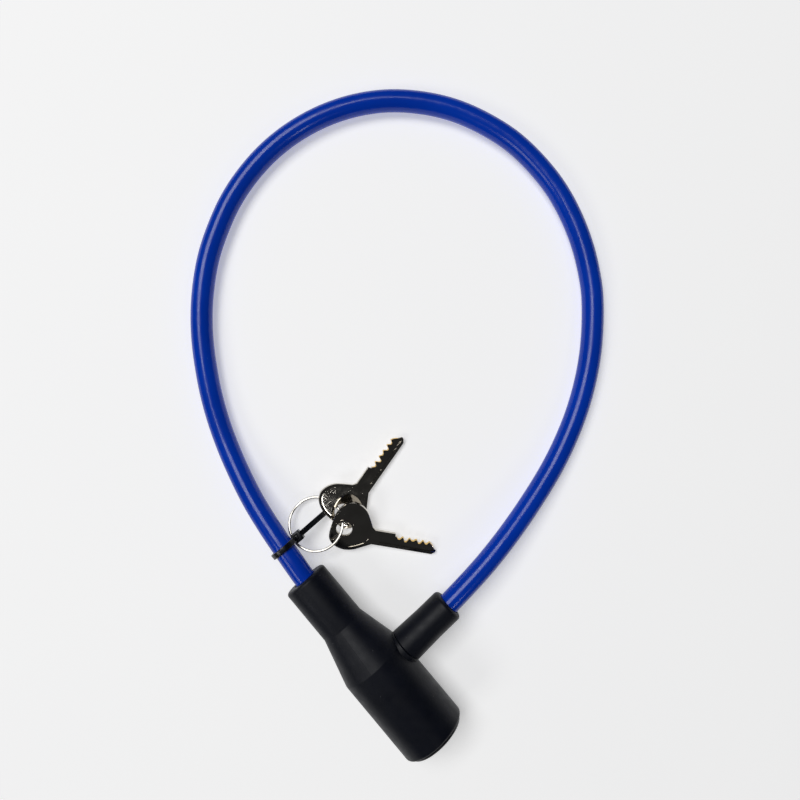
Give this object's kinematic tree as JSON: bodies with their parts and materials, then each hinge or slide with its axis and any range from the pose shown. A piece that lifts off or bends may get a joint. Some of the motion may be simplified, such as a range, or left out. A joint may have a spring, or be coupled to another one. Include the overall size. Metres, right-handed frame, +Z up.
{
  "type": "cable lock",
  "caption": "Keyed cable lock: a sleeved steel cable loops from the neck of a round barrel to a plug in its side; keys hang on a ring tied to the cable.",
  "frame": {"origin": "on the lock's axis at the mouth of the neck, where the cable goes in; the lock lies on a floor 15.75 mm below it", "axes": "+X along the lock's axis from the neck towards the keyhole, +Y the side that the plug leaves from, +Z up from the floor that the lock lies on"},
  "size_m": [0.2581, 0.223, 0.0316],
  "materials": {
    "cover_plastic": "fine matte texture",
    "cap_plastic": "satin",
    "zinc": "die-cast zinc, as cast",
    "steel": "turned and plated",
    "brass": "machined",
    "spring_steel": "drawn wire",
    "jacket": "glossy, slightly translucent",
    "wire_rope": "twisted strands",
    "tie_nylon": "satin",
    "ring_plate": "nickel plated wire",
    "key_plate": "nickel plated, raw brass in the cuts"
  },
  "bodies": {
    "lock": {"cover": "cover_plastic", "lock_case": "zinc", "end_cap": "cap_plastic", "cable_ferrule": "steel", "ferrule_pin": "steel", "cylinder_housing": "brass", "cylinder_pin": "steel", "latch_spring": "spring_steel", "cable_jacket": "jacket", "wire_core": "wire_rope", "zip_tie": "tie_nylon"},
    "rotor": {"key_rotor": "brass", "wafer_1": "brass", "wafer_2": "brass", "wafer_3": "brass", "wafer_4": "brass", "wafer_5": "brass", "wafer_springs": "spring_steel", "rotor_clip": "steel", "drive_cam": "steel"},
    "latch": {"latch": "steel"},
    "plug": {"plug_bolt": "steel", "plug_sleeve": "cover_plastic"},
    "ring": {"split_ring": "ring_plate"},
    "key_1": {"key_1": "key_plate"},
    "key_2": {"key_2": "key_plate"}
  },
  "joints": [
    {"name": "key_turn", "type": "hinge", "parent": "lock", "child": "rotor", "pos_m": [0.08, 0, 0], "axis": [1, 0, 0], "range_deg": [0, 90]},
    {"name": "latch_slide", "type": "slide", "parent": "lock", "child": "latch", "axis": [1, 0, 0], "range_m": [-0.0025, 0], "deforming": ["latch_spring"]},
    {"name": "plug_slide", "type": "slide", "parent": "lock", "child": "plug", "axis": [-0.075, 0.9972, 0], "range_m": [0, 0.025], "deforming": ["cable_jacket", "wire_core"]},
    {"name": "ring_swing", "type": "hinge", "parent": "lock", "child": "ring", "pos_m": [-0.01643, 0.00534, -0.00873], "axis": [1, 0, 0], "range_deg": [0, 60]},
    {"name": "key_1_round", "type": "hinge", "parent": "ring", "child": "key_1", "pos_m": [-0.015, 0.0176, -0.00995], "axis": [-0.2095, 0.121, 0.9703], "range_deg": [-5, 15]},
    {"name": "key_2_round", "type": "hinge", "parent": "ring", "child": "key_2", "pos_m": [-0.015, 0.0176, -0.00995], "axis": [0.2095, -0.121, -0.9703], "range_deg": [-5, 30]}
  ],
  "couplings": [
    {"joint": "latch_slide", "follows": "key_turn", "m_per_rad": -0.00159}
  ]
}
